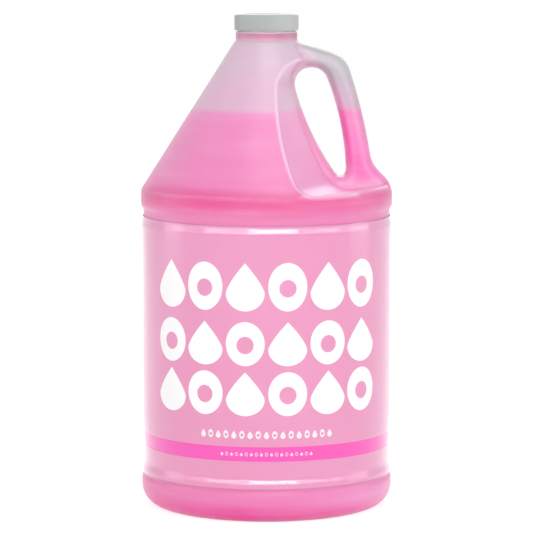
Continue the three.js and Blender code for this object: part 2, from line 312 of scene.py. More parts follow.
# %% Driving sizes of the handle
GRIP_DEPTH = 26.4
GRIP_ROUND = 5.9
GRIP_BOW = 1
CORNER = (49.2, CONE_TOP - 8.5)
CORNER_ROUND = 12
FOOT_RISE = 20.3
FOOT_INSET = 12.4
FOOT_LANDING = 1
FOOT_ROOT = 9
FOOT_PULL = 7
GRIP_END_PULL = 11
HOLE_TOP = (27.5, CONE_TOP - 25.9)
HOLE_TOP_RADIUS = 10.2
HOLE_BOTTOM = (body_radius - 31.9, SHOULDER + 11.7)
HOLE_BOTTOM_RADIUS = 3.4
HOLE_BULGE = 2.4
POCKET_RIM = 4.9
POCKET_SHIFT = (2.5, 1.8)
POCKET_CORNER = 20
POCKET_CORNER_SHIFT = 8
POCKET_BULGE = 2
POCKET_DRAFT = 0.35
POCKET_FLOOR = 2.5
LEDGE_RISE = 0.6
LEDGE_SLOPE = 0.12
print("grip", GRIP_DEPTH, "mm deep, finger hole", 2 * HOLE_TOP_RADIUS, "mm wide at its top")

# %% Curves and round ends
def bend(*controls, steps=12):
    points = []
    for i in range(1, steps + 1):
        t = i / steps
        level = [Vector(c) for c in controls]
        while len(level) > 1:
            level = [a.lerp(b, t) for a, b in zip(level, level[1:])]
        points.append(tuple(level[0]))
    return points


def round_ends(start, end, start_radius, end_radius, swell, steps=12):
    start, end = Vector(start), Vector(end)
    length = (end - start).length
    along = (end - start) / length
    side = Vector((-along.y, along.x))

    def radius(t):
        return start_radius + (end_radius - start_radius) * t + swell * 4 * t * (1 - t)

    def lean(t):
        return math.asin((start_radius - end_radius - swell * 4 * (1 - 2 * t)) / length)

    def edge(t, sign):
        shift = radius(t) * math.sin(lean(t))
        return tuple(start + along * (length * t + shift) + side * sign * radius(t) * math.cos(lean(t)))

    heading = math.degrees(math.atan2(along.y, along.x))
    lean_start, lean_end = math.degrees(lean(0)), math.degrees(lean(1))
    inner = [i / steps for i in range(1, steps)]
    return [
        *arc(start.x, start.y, start_radius, heading + 90 - lean_start, heading + 270 + lean_start, 24),
        *[edge(t, -1) for t in inner],
        *arc(end.x, end.y, end_radius, heading - 90 + lean_end, heading + 90 - lean_end, 24),
        *[edge(t, 1) for t in reversed(inner)],
    ]


hole_line = round_ends(HOLE_TOP, HOLE_BOTTOM, HOLE_TOP_RADIUS, HOLE_BOTTOM_RADIUS, HOLE_BULGE)
print("finger hole outline:", len(hole_line), "points")


# %% Outlines seen from the front
def handle_line():
    corner, neck = Vector(CORNER), Vector((CONE_TOP_RADIUS, CONE_TOP))
    foot = Vector((body_radius - FOOT_LANDING, SHOULDER + FOOT_LANDING))
    grip_end = foot + Vector((-FOOT_INSET, FOOT_RISE))
    down, up = (grip_end - corner).normalized(), (neck - corner).normalized()
    corner_in, corner_out = corner + up * CORNER_ROUND, corner + down * CORNER_ROUND
    bow = (grip_end + corner_out) / 2 + Vector((-down.y, down.x)) * 2 * GRIP_BOW
    into_foot = grip_end + (grip_end - bow).normalized() * GRIP_END_PULL
    root = SHOULDER - FOOT_ROOT
    return [
        (0, root),
        (foot.x, root),
        tuple(foot),
        *bend(foot, foot + Vector((0, FOOT_PULL)), into_foot, grip_end),
        *bend(grip_end, bow, corner_out),
        *bend(corner_out, corner, corner_in),
        tuple(neck),
        (0, neck.y),
    ]


def pocket_line():
    ledge = SHOULDER + LEDGE_RISE
    top = Vector(HOLE_TOP) + Vector(POCKET_SHIFT)
    top_radius = HOLE_TOP_RADIUS + POCKET_RIM
    corner = Vector((HOLE_BOTTOM[0] + POCKET_CORNER_SHIFT, ledge + POCKET_CORNER))
    path = corner - top
    left = []
    for point in round_ends(top, corner, top_radius, POCKET_CORNER, POCKET_BULGE):
        away = Vector(point) - top
        limit = top.x if point[1] > top.y else corner.x
        if point[0] < limit and path.cross(away) < 0:
            left.append(point)
    outside = 2 * body_radius
    ledge_end = ledge + LEDGE_SLOPE * (outside - corner.x)
    top_edge = top.y + top_radius
    return [(outside, ledge_end), (outside, top_edge), (top.x, top_edge), *left, (corner.x, ledge)]


print("handle outline", len(handle_line()), "points, pocket outline", len(pocket_line()), "points")


# %% Plates drawn from an outline
def plate(name, outline, depth=0.0, fill="NGON"):
    put_down()
    bpy.ops.mesh.primitive_circle_add(vertices=len(outline), radius=MM, fill_type=fill)
    piece = bpy.context.object
    piece.name = name
    for vertex, (x, z) in zip(piece.data.vertices, outline):
        vertex.co = (x * MM, -depth * MM, z * MM)
    return piece


def oval_steps(count=8):
    angles = [math.radians(90 * i / count) for i in range(count + 1)]
    inside = [GRIP_ROUND * (1 - math.cos(a)) for a in angles]
    depth = [GRIP_DEPTH / 2 * math.sin(a) for a in angles]
    return [(b - a, d - c) for a, b, c, d in zip(inside, inside[1:], depth, depth[1:])]


def mirrored(piece):
    add_and_apply(piece, "MIRROR", use_axis=(False, True, False), merge_threshold=0.002 * MM)
    facing_out(piece)
    return piece


print("steps over a quarter of the grip's oval:", len(oval_steps()))


# %% Slab, finger hole and pocket
def handle_slab():
    slab = plate("handle_slab", handle_line())
    bpy.ops.object.mode_set(mode="EDIT")
    for inwards, outwards in oval_steps():
        bpy.ops.mesh.inset(thickness=inwards * MM, depth=outwards * MM)
    return mirrored(slab)


def finger_hole():
    steps = oval_steps()
    past = steps[-1]
    grown = GRIP_ROUND + past[0]
    depth = GRIP_DEPTH / 2 + past[1]
    outline = round_ends(
        HOLE_TOP, HOLE_BOTTOM, HOLE_TOP_RADIUS + grown, HOLE_BOTTOM_RADIUS + grown, HOLE_BULGE
    )
    hole = plate("finger_hole", outline, depth)
    bpy.ops.object.mode_set(mode="EDIT")
    for inwards, outwards in [past, *reversed(steps)]:
        bpy.ops.mesh.inset(thickness=inwards * MM, depth=-outwards * MM)
    bpy.ops.mesh.delete(type="ONLY_FACE")
    put_down()
    add_and_apply(hole, "MIRROR", use_axis=(False, True, False), merge_threshold=0.002 * MM)
    open_all(hole)
    bpy.ops.mesh.fill_holes(sides=0)
    facing_out(hole)
    return hole


def pocket_cutter():
    cutter = plate("pocket_cutter", pocket_line(), fill="NOTHING")
    bpy.ops.object.mode_set(mode="EDIT")
    straight = (GRIP_DEPTH / 2 - POCKET_FLOOR) * MM
    lean = (-POCKET_DRAFT * body_radius * MM, -body_radius * MM, 0)
    bpy.ops.mesh.extrude_region_move(TRANSFORM_OT_translate={"value": (0, -straight, 0)})
    bpy.ops.mesh.extrude_region_move(TRANSFORM_OT_translate={"value": lean})
    bpy.ops.mesh.edge_face_add()
    put_down()
    return mirrored(cutter)


# %% Put the body and the handle together
def combine(piece, other, operation):
    add_and_apply(piece, "BOOLEAN", object=other, operation=operation, solver="EXACT")
    bpy.data.objects.remove(other)


slab = handle_slab()
combine(slab, finger_hole(), "DIFFERENCE")
combine(body, pocket_cutter(), "DIFFERENCE")
combine(body, slab, "UNION")
print("body with handle:", triangles(body), "triangles")

# %% [markdown]
# ## Softening the blown shape
#
# Blown plastic has no sharp edge anywhere: the bubble stretches over every corner of the mould. The
# shoulder and the handle are therefore cut off from the plain body, remeshed with small even cells and
# smoothed, which rounds the rim of the pocket and the crook of the handle as one skin. Bevels on the
# crossing surfaces would break at the places where three of them meet. The plain body below keeps its clean
# rings, and the neck is turned apart.

# %% Cut off the shoulder, remesh and smooth it
CELL = 1.2
CUT_LOW = 160
SEAM_LOW = 170
SEAM_HIGH = CONE_TOP - 1.2


def cut(piece, height, keep_above, fill):
    open_all(piece)
    bpy.ops.mesh.bisect(
        plane_co=(0, 0, height * MM),
        plane_no=(0, 0, 1),
        clear_inner=keep_above,
        clear_outer=not keep_above,
        use_fill=fill,
    )
    put_down()


def copy_of(piece, name):
    pick_up(piece)
    bpy.ops.object.duplicate()
    copied = bpy.context.object
    copied.name = name
    return copied


shoulder = copy_of(body, "jug_shoulder")
cut(shoulder, CUT_LOW, keep_above=True, fill=True)
cut(body, SEAM_LOW, keep_above=False, fill=False)
pick_up(shoulder)
shoulder.data.remesh_voxel_size = CELL * MM
bpy.ops.object.voxel_remesh()
add_and_apply(shoulder, "SMOOTH", factor=0.5, iterations=8)
print("softened shoulder and handle:", triangles(shoulder), "triangles")

# %% [markdown]
# The rim of the pocket and the edges of the handle are painted lighter than the wall beside them, as a
# highlight, and the creases beside them darker, as shade. So that the finish can find them, each vertex
# notes how far it stands proud of a further softened copy of the skin.
# That comes before the seams are cut, because the copy would pull in along an open edge.

# %% Mark the ridges, then cut at the seams
RIDGE_SOFTENING = 30


def mark_ridges(piece):
    softer = copy_of(piece, "softer")
    add_and_apply(softer, "SMOOTH", factor=0.5, iterations=RIDGE_SOFTENING)
    pairs = zip(piece.data.vertices, softer.data.vertices)
    proud = [(before.co - after.co).dot(before.normal) / MM for before, after in pairs]
    piece.data.attributes.new("ridge", "FLOAT", "POINT").data.foreach_set("value", proud)
    bpy.data.objects.remove(softer)
    return max(proud)


print("highest ridge stands", round(mark_ridges(shoulder), 2), "mm proud of the softened skin")
cut(shoulder, SEAM_LOW, keep_above=True, fill=False)
cut(shoulder, SEAM_HIGH, keep_above=False, fill=False)
print("shoulder and handle:", triangles(shoulder), "triangles; plain body:", triangles(body))

# %% [markdown]
# ## The neck and its thread
#
# The neck is formed by its own steel in the mould, so it is crisp: a band that the cap stops above, the
# wall with one turn of thread, the land that the liner seals on, and the bore. The thread is a trapezoid
# bar wound by a Screw modifier. Its ends are scaled down into the wall, as a cutter leaves them.

# %% Sizes of the neck finish
NECK_WALL_RADIUS = 17.5
NECK_BORE_RADIUS = 15.6
BAND_RADIUS = 18.8
BAND_HEIGHT = 6.2
THREAD_PITCH = 25.4 / 6
THREAD_HEIGHT = 1.05
THREAD_BASE = 2.6
THREAD_CREST = 1
THREAD_SINK = 0.4
THREAD_ABOVE_CAP_RIM = 0.6
RUN_OUT_DEGREES = 18
RUN_OUT_LEFT = 0.1
print("neck", 2 * NECK_WALL_RADIUS, "mm across, one turn of thread rises", round(THREAD_PITCH, 3), "mm")


# %% Wind a thread
def thread_bar(name, wall, outwards, start, turns):
    put_down()
    bpy.ops.mesh.primitive_plane_add(size=MM)
    bar = bpy.context.object
    bar.name = name
    root, crest = wall - outwards * THREAD_SINK, wall + outwards * THREAD_HEIGHT
    corners = [(root, -THREAD_BASE), (crest, -THREAD_CREST), (root, THREAD_BASE), (crest, THREAD_CREST)]
    for vertex, (radius, height) in zip(bar.data.vertices, corners):
        vertex.co = (radius * MM, 0, (start + height / 2) * MM)
    steps = round(AROUND * turns)
    angle, rise = math.tau * turns, THREAD_PITCH * turns * MM
    add_and_apply(bar, "SCREW", angle=angle, screw_offset=rise, steps=steps, render_steps=steps)
    open_all(bar)
    bpy.ops.mesh.fill_holes(sides=0)
    put_down()
    return bar


def wound_thread(name, wall, outwards, start, turns, first_turn=0.0):
    bar = thread_bar(name, wall, outwards, start, turns)
    run_out = math.radians(RUN_OUT_DEGREES)
    cos, sin = math.cos(first_turn * math.tau), math.sin(first_turn * math.tau)
    for vertex in bar.data.vertices:
        x, y, z = vertex.co
        turn = (z / MM - start) / THREAD_PITCH * math.tau
        fade = min(1, max(0, turn / run_out), max(0, (turns * math.tau - turn) / run_out))
        radius = math.hypot(x, y)
        height = radius - wall * MM
        lifted = wall * MM + height * (RUN_OUT_LEFT + (1 - RUN_OUT_LEFT) * fade)
        scale = lifted / radius if outwards * height > 0 else 1
        vertex.co.x = (x * cos - y * sin) * scale
        vertex.co.y = (x * sin + y * cos) * scale
    facing_out(bar)
    return bar


thread_start = cap_bottom + THREAD_ABOVE_CAP_RIM
neck_thread = wound_thread("neck_thread", NECK_WALL_RADIUS, 1, thread_start, 1)
print("thread:", triangles(neck_thread), "triangles")


# %% Turn the neck
EDGE_ROUND = 0.5
BAND_FILLET = 0.4
MOUTH_BEVEL = 0.3


def neck_line():
    band_top = CONE_TOP + BAND_HEIGHT
    return [
        (CONE_TOP_RADIUS + 0.35, CONE_TOP - 0.4),
        (CONE_TOP_RADIUS - 0.1, CONE_TOP + 0.25),
        (BAND_RADIUS + 0.1, CONE_TOP + 0.6),
        (BAND_RADIUS, CONE_TOP + 1.1),
        (BAND_RADIUS, band_top - 0.9),
        *arc(BAND_RADIUS - EDGE_ROUND, band_top - EDGE_ROUND, EDGE_ROUND, 0, 90, 4),
        *arc(NECK_WALL_RADIUS + BAND_FILLET, band_top + BAND_FILLET, BAND_FILLET, 270, 180, 4),
        (NECK_WALL_RADIUS, neck_top - 0.9),
        *arc(NECK_WALL_RADIUS - EDGE_ROUND, neck_top - EDGE_ROUND, EDGE_ROUND, 0, 90, 4),
        (NECK_BORE_RADIUS + MOUTH_BEVEL, neck_top),
        (NECK_BORE_RADIUS, neck_top - MOUTH_BEVEL),
        (NECK_BORE_RADIUS, CONE_TOP + 0.5),
        (NECK_BORE_RADIUS + 0.5, CONE_TOP - 1),
    ]


neck = turned("jug_neck", neck_line())
print("neck:", triangles(neck), "triangles")

# %% [markdown]
# ## One hollow jug
#
# The plain body and the shoulder are joined first. The inner wall is a copy of them moved in by the wall's
# thickness, and it is never seen close, so it is thinned out. Then the neck joins the outer skin and the
# inner wall joins last. After each join the open edges that face one another are bridged while no others
# are near, which leaves one closed shell with an open mouth.

# %% Join parts and bridge their open edges
def join(parts, name):
    put_down()
    for part in parts:
        part.select_set(True)
    bpy.context.view_layer.objects.active = parts[0]
    bpy.ops.object.join()
    joined = bpy.context.object
    joined.name = name
    return joined


def select_open_edges(piece):
    pick_up(piece)
    bpy.ops.object.mode_set(mode="EDIT")
    bpy.ops.mesh.select_mode(type="EDGE")
    bpy.ops.mesh.select_all(action="DESELECT")
    bpy.ops.mesh.select_non_manifold(
        extend=False, use_wire=False, use_multi_face=False, use_non_contiguous=False
    )


def bridge_at(piece, height, reach, radius_low=0.0):
    select_open_edges(piece)
    bpy.ops.object.mode_set(mode="OBJECT")
    vertices = piece.data.vertices
    kept = 0
    for edge in piece.data.edges:
        if edge.select:
            ends = [vertices[i].co / MM for i in edge.vertices]
            near = all(abs(end.z - height) < reach for end in ends)
            edge.select = near and all(math.hypot(end.x, end.y) > radius_low for end in ends)
            kept += edge.select
    for vertex in vertices:
        vertex.select = False
    for edge in piece.data.edges:
        if edge.select:
            for i in edge.vertices:
                vertices[i].select = True
    bpy.ops.object.mode_set(mode="EDIT")
    bpy.ops.mesh.bridge_edge_loops()
    put_down()
    return kept


# %% Outer wall, inner wall and neck
outer = join([body, shoulder], "jug_outer")
print("edges bridged low:", bridge_at(outer, SEAM_LOW, 0.5))
inner = copy_of(outer, "jug_inner")
add_and_apply(inner, "DECIMATE", ratio=0.22)
open_all(inner)
bpy.ops.transform.shrink_fatten(value=-WALL * MM)
bpy.ops.mesh.flip_normals()
put_down()
print("inner wall:", triangles(inner), "triangles", [round(c / MM, 1) for c in inner.bound_box[6]])

outer = join([outer, neck], "jug_outer")
outside_edges = bridge_at(outer, CONE_TOP - 0.8, 2.2, radius_low=NECK_WALL_RADIUS)
jug = join([outer, inner], "jug_shell")
inside_edges = bridge_at(jug, CONE_TOP - 1.1, 3.5)
jug = join([jug, neck_thread], "jug_shell")
pick_up(jug)
bpy.ops.object.shade_smooth_by_angle(angle=math.radians(40))
print("edges bridged at the neck:", outside_edges, inside_edges)
print("jug:", triangles(jug), "triangles")

# %% [markdown]
# ## The label
#
# The label is one printed film wrapped round the panel, with its ends lapped at the back. It follows the
# panel: near the upper edge it leans in and near the lower edge it flares out, and each of these bands
# catches the front light as a thin bright crescent. It is turned like the body, as a closed ring with both
# faces.

# %% Turn the label film
FILM = 0.22


def label_line():
    outside = [(label_radius - panel_lean(h), h) for h in panel_heights(label_bottom, label_top)]
    inside = [(radius - FILM, height) for radius, height in reversed(outside)]
    return outside + inside


label = turned("label_film", label_line())
select_open_edges(label)
bpy.ops.mesh.bridge_edge_loops()
facing_out(label)
pick_up(label)
bpy.ops.object.shade_smooth_by_angle(angle=math.radians(40))
print("label:", triangles(label), "triangles, radius", round(label_radius, 2))

# %% [markdown]
# ## The cap
#
# The cap is injection moulded in grey: a smooth skirt with a rounded upper edge, a flat top with a shallow
# dished field, and inside it the thread that meets the neck's. A turned outline carries all of that.

# %% Turn the cap
CLEARANCE = 0.3
CAP_BORE = NECK_WALL_RADIUS + THREAD_HEIGHT + CLEARANCE
CAP_CEILING = liner_top + CLEARANCE
SKIRT_INSET = 0.4
SKIRT_ROUND = 0.35
CAP_TOP_ROUND = 1.1
CAP_DISH = 0.25


def cap_line():
    return [
        (CAP_BORE, CAP_CEILING),
        (CAP_BORE, cap_bottom + SKIRT_INSET),
        (CAP_BORE + 0.25, cap_bottom),
        (cap_radius - SKIRT_INSET, cap_bottom),
        *arc(cap_radius - SKIRT_INSET, cap_bottom + SKIRT_ROUND, SKIRT_ROUND, -90, 0, 4),
        (cap_radius - 0.1, cap_bottom + SKIRT_INSET),
        (cap_radius, cap_bottom + 1.2),
        (cap_radius, cap_top - 1.6),
        *arc(cap_radius - CAP_TOP_ROUND, cap_top - CAP_TOP_ROUND, CAP_TOP_ROUND, 0, 90, 8),
        (cap_radius - 2.6, cap_top),
        (cap_radius - 3.2, cap_top - CAP_DISH),
        (cap_radius - 9, cap_top - CAP_DISH - 0.05),
        (1.2, cap_top - CAP_DISH - 0.08),
    ]


cap = turned("cap_moulding", cap_line())
select_open_edges(cap)
bpy.ops.mesh.fill_holes(sides=0)
facing_out(cap)
print("cap without its thread:", triangles(cap), "triangles")

# %% Wind the cap's thread, half a pitch away from the neck's
CAP_TURN = 0.75
CAP_THREAD_TURNS = 1.13

cap_thread_start = thread_start + (CAP_TURN - 0.5) * THREAD_PITCH
cap_thread = wound_thread("cap_thread", CAP_BORE, -1, cap_thread_start, CAP_THREAD_TURNS, CAP_TURN)
cap = join([cap, cap_thread], "cap_moulding")
pick_up(cap)
bpy.ops.object.shade_smooth_by_angle(angle=math.radians(35))
print("cap:", triangles(cap), "triangles")

# %% [markdown]
# ## Finishes
#
# Colours are written as the eye reads them on a screen, and one helper turns them into the linear numbers
# that a shader works with. A second helper holds one finish and lays its tree of nodes: most calls add one
# node, set its sockets and link it. What a socket gets may be a number or the output of another node.

# %% Helpers for shader nodes
def shade(red, green, blue):
    def linear(value):
        value /= 255
        return value / 12.92 if value <= 0.04045 else ((value + 0.055) / 1.055) ** 2.4

    return (linear(red), linear(green), linear(blue), 1)


class Finish:
    def __init__(self, name):
        self.material = bpy.data.materials.new(name)
        self.material.use_nodes = True
        self.tree = self.material.node_tree
        self.surface = self.tree.nodes["Principled BSDF"]
        self.place = self.add("ShaderNodeTexCoord").outputs["Object"]

    def add(self, kind, **settings):
        node = self.tree.nodes.new(kind)
        for name, value in settings.items():
            setattr(node, name, value)
        return node

    def link(self, value, socket):
        if isinstance(value, bpy.types.NodeSocket):
            self.tree.links.new(value, socket)
        else:
            socket.default_value = value

    def math(self, operation, *values):
        node = self.add("ShaderNodeMath", operation=operation)
        for value, socket in zip(values, node.inputs):
            self.link(value, socket)
        return node.outputs[0]

    def times(self, first, *others):
        for other in others:
            first = self.math("MULTIPLY", first, other)
        return first

    def line(self, value, slope, start):
        return self.math("ADD", self.math("MULTIPLY", value, slope), start)

    def length(self, first, second):
        squares = self.math("ADD", self.times(first, first), self.times(second, second))
        return self.math("SQRT", squares)

    def split(self, vector):
        node = self.add("ShaderNodeSeparateXYZ")
        self.link(vector, node.inputs[0])
        return node.outputs

    def noise(self, scale, detail=4.0, roughness=0.5, stretch=(1, 1, 1)):
        mapping = self.add("ShaderNodeMapping")
        self.link(self.place, mapping.inputs["Vector"])
        mapping.inputs["Scale"].default_value = stretch
        node = self.add("ShaderNodeTexNoise")
        self.link(mapping.outputs[0], node.inputs["Vector"])
        node.inputs["Scale"].default_value = scale
        node.inputs["Detail"].default_value = detail
        node.inputs["Roughness"].default_value = roughness
        return node.outputs["Fac"]

    def ranged(self, value, low, high, to_low, to_high, soft=False):
        kind = "SMOOTHSTEP" if soft else "LINEAR"
        node = self.add("ShaderNodeMapRange", interpolation_type=kind)
        for socket, setting in zip(node.inputs, (value, low, high, to_low, to_high)):
            self.link(setting, socket)
        return node.outputs[0]

    def cloudy(self, scale, low, high):
        return self.ranged(self.noise(scale, 3.0), 0.2, 0.8, low, high, soft=True)

    def ramp(self, value, stops, low, high):
        node = self.add("ShaderNodeValToRGB")
        self.link(self.ranged(value, low, high, 0.0, 1.0), node.inputs[0])
        elements = node.color_ramp.elements
        while len(elements) < len(stops):
            elements.new(0.5)
        for element, (at, colour) in zip(elements, stops):
            element.position = (at - low) / (high - low)
            element.color = shade(*colour)
        return node.outputs[0]

    def choose(self, factor, first, second):
        node = self.add("ShaderNodeMix", data_type="FLOAT")
        self.link(factor, node.inputs["Factor"])
        self.link(first, node.inputs["A"])
        self.link(second, node.inputs["B"])
        return node.outputs["Result"]

    def mix(self, factor, first, second):
        node = self.add("ShaderNodeMix", data_type="RGBA")
        self.link(factor, node.inputs["Factor"])
        self.link(first, node.inputs["A"])
        self.link(second, node.inputs["B"])
        return node.outputs["Result"]

    def bump(self, height, distance, strength=1.0):
        node = self.add("ShaderNodeBump")
        node.inputs["Distance"].default_value = distance
        node.inputs["Strength"].default_value = strength
        self.link(height, node.inputs["Height"])
        self.give("Normal", node.outputs[0])

    def give(self, name, value):
        self.link(value, self.surface.inputs[name])

    def put_on(self, piece):
        piece.data.materials.clear()
        piece.data.materials.append(self.material)
        print(self.material.name, "on", piece.name, "with", len(self.tree.nodes), "nodes")


# %% [markdown]
# ## Natural polyethylene over soap
#
# Unpigmented polyethylene is milky, so the soap behind it shows as a soft field of pink and not as a clear
# view. Clear glass with a volume would show sharp refractions that this plastic never has. The finish
# therefore scatters light under the surface, and its colour follows the height: pink up to the soap's level
# with a soft edge and pale lilac above it. Where the wall is upright at the shoulder and where the heel turns
# under, the pink is painted deeper as shade.
#
# Two colour ramps over the height, in millimetres, hold that: one for the wall over soap and one for the
# wall over air, whose last stops are the neck's pink band, painted darker towards its top as the shadow under
# the cap, a pale painted highlight on the band's upper rounding, and the white plastic above it.

# %% Colours over the height
# The stops from 0 to 12 mm and from 190 to 195.5 mm are painted shade: deeper pink where the heel turns under
# and on the upright wall below the shoulder.
OVER_SOAP_WITH_SHADE = (
    (0, (236, 20, 142)),
    (5, (236, 54, 156)),
    (12, (240, 110, 175)),
    (20, (241, 120, 179)),
    (184, (244, 128, 183)),
    (190, (240, 84, 153)),
    (195.5, (230, 44, 132)),
    (202, (243, 128, 185)),
    (238, (243, 136, 191)),
)
# The stops at 288.8 and 291 mm are a painted shadow under the cap; the stop at 291.5 mm is partly a painted
# highlight on the band's upper rounding and partly the white plastic above it.
OVER_AIR = (
    (240, (226, 180, 206)),
    (256, (224, 184, 207)),
    (272, (212, 190, 204)),
    (285.2, (203, 191, 202)),
    (286.6, (210, 168, 190)),
    (288.8, (190, 114, 146)),
    (291, (186, 100, 136)),
    (291.5, (252, 246, 250)),
    (300, (244, 234, 242)),
)
LIMB_OVER_AIR = ((248, (192, 166, 183)), (270, (174, 188, 186)))
print("colour stops:", len(OVER_SOAP_WITH_SHADE), "over soap,", len(OVER_AIR), "over air")

# %% [markdown]
# Some places differ from the height's colour: the pocket, which is painted lighter to lift the shade in its
# recess, with a faint painted highlight near its ledge, and the limb of the handle outside the finger hole,
# which is seen against the light and is painted brighter below the soap's level as a glow of light through
# it. Both are found from the piece's own outlines: how far a point lies inside the plain cone, and on which
# side of the hole's slanting middle line.

# %% Where a point lies on the jug
CONE_SLOPE = (body_radius - CONE_TOP_RADIUS) / (CONE_TOP - SHOULDER)
HOLE_SLOPE = (HOLE_BOTTOM[0] - HOLE_TOP[0]) / (HOLE_TOP[1] - HOLE_BOTTOM[1])


def find_places(finish):
    x, y, z = finish.split(finish.place)
    height = finish.times(z, 1 / MM)
    across = finish.times(x, 1 / MM)
    cone_radius = finish.line(height, -CONE_SLOPE, CONE_TOP_RADIUS + CONE_SLOPE * CONE_TOP)
    inside = finish.math("SUBTRACT", cone_radius, finish.math("DIVIDE", finish.length(x, y), MM))
    hole_middle = finish.line(height, -HOLE_SLOPE, HOLE_TOP[0] + HOLE_SLOPE * HOLE_TOP[1])
    past_hole = finish.math("SUBTRACT", across, hole_middle)
    on_handle = finish.ranged(height, SHOULDER - 1.5, SHOULDER + 1.5, 0.0, 1.0)
    hollow = finish.ranged(inside, 0.5, 3.5, 0.0, 1.0, soft=True)
    return SimpleNamespace(
        height=height,
        across=across,
        inside=inside,
        from_seam=finish.math("ABSOLUTE", y),
        on_handle=on_handle,
        in_pocket=finish.times(on_handle, hollow),
        limb_side=finish.ranged(past_hole, 4.0, 10.0, 0.0, 1.0, soft=True),
    )


print("the cone widens by", round(CONE_SLOPE, 3), "and the hole's middle moves by", round(HOLE_SLOPE, 3))

# %% Wall over soap and wall over air
def over_soap(finish, at):
    mottle = finish.noise(22, 3, 0.55, (1, 1, 0.35))
    wander = finish.times(finish.math("SUBTRACT", mottle, 0.5), 5.0)
    colour = finish.ramp(finish.math("ADD", at.height, wander), OVER_SOAP_WITH_SHADE, 0, 240)
    # painted light: the pocket is painted lighter against its shade, with a faint painted highlight near its
    # ledge
    ledge_highlight = finish.ranged(at.height, SHOULDER + 2, SHOULDER + 7, 0.08, 0.0, soft=True)
    pocket = finish.mix(ledge_highlight, shade(252, 174, 216), shade(255, 208, 236))
    colour = finish.mix(at.in_pocket, colour, pocket)
    # painted light: below the soap's level the limb is painted brighter, as a glow of light through it
    outer_edge = finish.ranged(at.inside, -0.5, -5.5, 0.0, 1.0, soft=True)
    limb = finish.mix(outer_edge, shade(255, 114, 190), shade(240, 124, 184))
    above_foot = finish.ranged(at.height, SHOULDER + 3, SHOULDER + 11, 0.0, 1.0, soft=True)
    return finish.mix(finish.times(at.limb_side, above_foot), colour, limb)


def over_air(finish, at):
    colour = finish.ramp(at.height, OVER_AIR, 236, 302)
    colour = finish.mix(finish.cloudy(34, 0.0, 0.4), colour, shade(230, 172, 202))
    # painted light: above the soap's level the pocket is painted lighter against its shade
    colour = finish.mix(finish.times(at.in_pocket, 0.8), colour, shade(236, 206, 224))
    limb = finish.ramp(at.height, LIMB_OVER_AIR, 240, 290)
    return finish.mix(finish.ranged(at.inside, -2.0, -9.0, 0.0, 0.9), colour, limb)


# %% [markdown]
# On top of that come painted highlights on the ridges and painted shade in the creases, from the attribute
# that the modelling left, faint streaks round the body, and painted light on the heel on the handle's side.

# %% Painted ridge highlights, crease shade, streaks and heel light
RIDGE_LOW = 0.12
RIDGE_HIGH = 0.42
print("ridges lighten from", RIDGE_LOW, "to", RIDGE_HIGH, "mm")


def paint_ridge_highlights(finish, at, colour, above_level):
    ridge = finish.add("ShaderNodeAttribute", attribute_name="ridge").outputs["Fac"]
    proud = finish.ranged(ridge, RIDGE_LOW, RIDGE_HIGH, 0.0, 1.0, soft=True)
    less_in_air = finish.ranged(above_level, 0.0, 1.0, 0.8, 0.65)
    less_on_limb = finish.ranged(at.limb_side, 0.0, 1.0, 1.0, 0.35)
    glow = finish.times(proud, at.on_handle, less_in_air, less_on_limb)
    # painted highlight along the ridges
    colour = finish.mix(glow, colour, shade(255, 218, 242))
    # painted shade in the creases
    crease_shade = finish.times(finish.ranged(ridge, -0.04, -0.25, 0.0, 0.3), at.on_handle)
    return finish.mix(crease_shade, colour, shade(214, 122, 170))


def streaks_and_heel_light(finish, at, colour):
    colour = finish.mix(finish.cloudy(9, 0.0, 0.12), colour, shade(252, 190, 224))
    drawn_out = finish.noise(26, 4, 0.6, (0.5, 0.5, 5))
    streak = finish.ranged(drawn_out, 0.3, 0.75, 0.0, 0.13, soft=True)
    colour = finish.mix(streak, colour, shade(255, 206, 232))
    # painted light: the heel on the handle's side is painted lighter, as if lit from the right
    lit_from_right = finish.ranged(at.across, 10, 60, 0.0, 0.6)
    above_floor = finish.ranged(at.height, 4, 12, 0.0, 1.0)
    below_panel = finish.ranged(at.height, 14, 19, 1.0, 0.0)
    return finish.mix(finish.times(lit_from_right, above_floor, below_panel), colour, shade(250, 172, 218))


# %% Finish of the jug
LEVEL_EDGE = (0.4, 4.6)
SEAM_LINE = (0.1 * MM, 0.5 * MM)


def jug_finish():
    finish = Finish("milky_polyethylene")
    at = find_places(finish)
    edge_low, edge_high = (fill_level + rise for rise in LEVEL_EDGE)
    above_level = finish.ranged(at.height, edge_low, edge_high, 0.0, 1.0, soft=True)
    colour = finish.mix(above_level, over_soap(finish, at), over_air(finish, at))
    colour = paint_ridge_highlights(finish, at, colour, above_level)
    colour = streaks_and_heel_light(finish, at, colour)
    finish.give("Base Color", colour)
    finish.give("Subsurface Weight", 0.25)
    finish.give("Subsurface Radius", (1.0, 0.55, 0.75))
    finish.give("Subsurface Scale", 0.004)
    finish.give("IOR", 1.5)
    finish.give("Roughness", finish.cloudy(60, 0.28, 0.38))
    seam = finish.ranged(at.from_seam, *SEAM_LINE, 3.0, 0.0, soft=True)
    skin = finish.math("ADD", finish.noise(420, 2), finish.times(finish.noise(40, 2), 2.0))
    finish.bump(finish.math("ADD", skin, seam), 0.00012, 0.5)
    return finish


jug_finish().put_on(jug)

# %% [markdown]
# ## Printed film
#
# The print is flat colour, so it is drawn by arithmetic on the film's own unrolled place: the way round in
# millimetres and the height. A band crosses the lower part. The large white rows hold drops and bubbles, a
# plain motif for soap, and each shape is a half width that follows a curve over its height.
#
# Within a shape the height runs from -1 at its foot to 1 at its tip. A disc's half width is that of a
# circle. A drop has a flattened half circle as its bowl, and above its widest place it tapers to the tip by
# a power curve.

